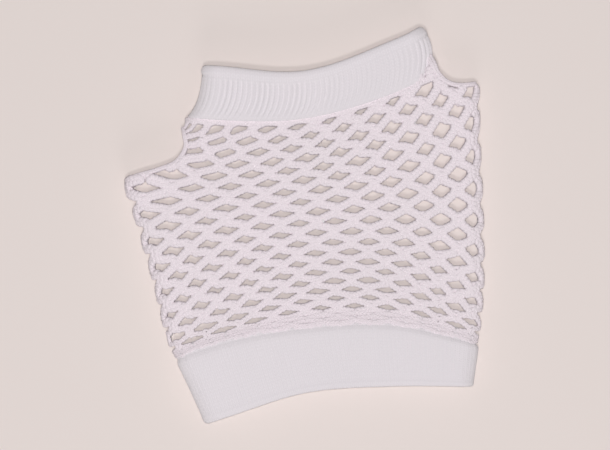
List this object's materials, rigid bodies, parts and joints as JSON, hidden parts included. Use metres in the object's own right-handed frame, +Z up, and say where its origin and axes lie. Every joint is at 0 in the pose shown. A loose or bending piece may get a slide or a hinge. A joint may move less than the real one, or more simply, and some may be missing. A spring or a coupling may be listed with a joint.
{
  "type": "fingerless mesh glove",
  "caption": "Short fingerless knitted glove: open net palm and back, ribbed finger band, plain wrist cuff, slits for thumb and little finger.",
  "frame": {"origin": "on the resting plane, under the middle of the glove's bounding box", "axes": "+Y from the wrist cuff to the finger band, +X from the thumb side to the little finger side, +Z up out of the glove's front as it lies on its back"},
  "size_m": [0.1054, 0.1154, 0.0112],
  "materials": {
    "net_yarn": "matte soft spun yarn, white with a faint lilac cast",
    "fine_knit": "matte fine-gauge knit, white with a faint lilac cast"
  },
  "bodies": {
    "root": {"mesh_tube": "net_yarn", "cuff_gather": "fine_knit", "wrist_cuff": "fine_knit", "finger_band": "fine_knit", "thumb_slit_edge": "net_yarn", "little_finger_slit_edge": "net_yarn"}
  },
  "joints": []
}
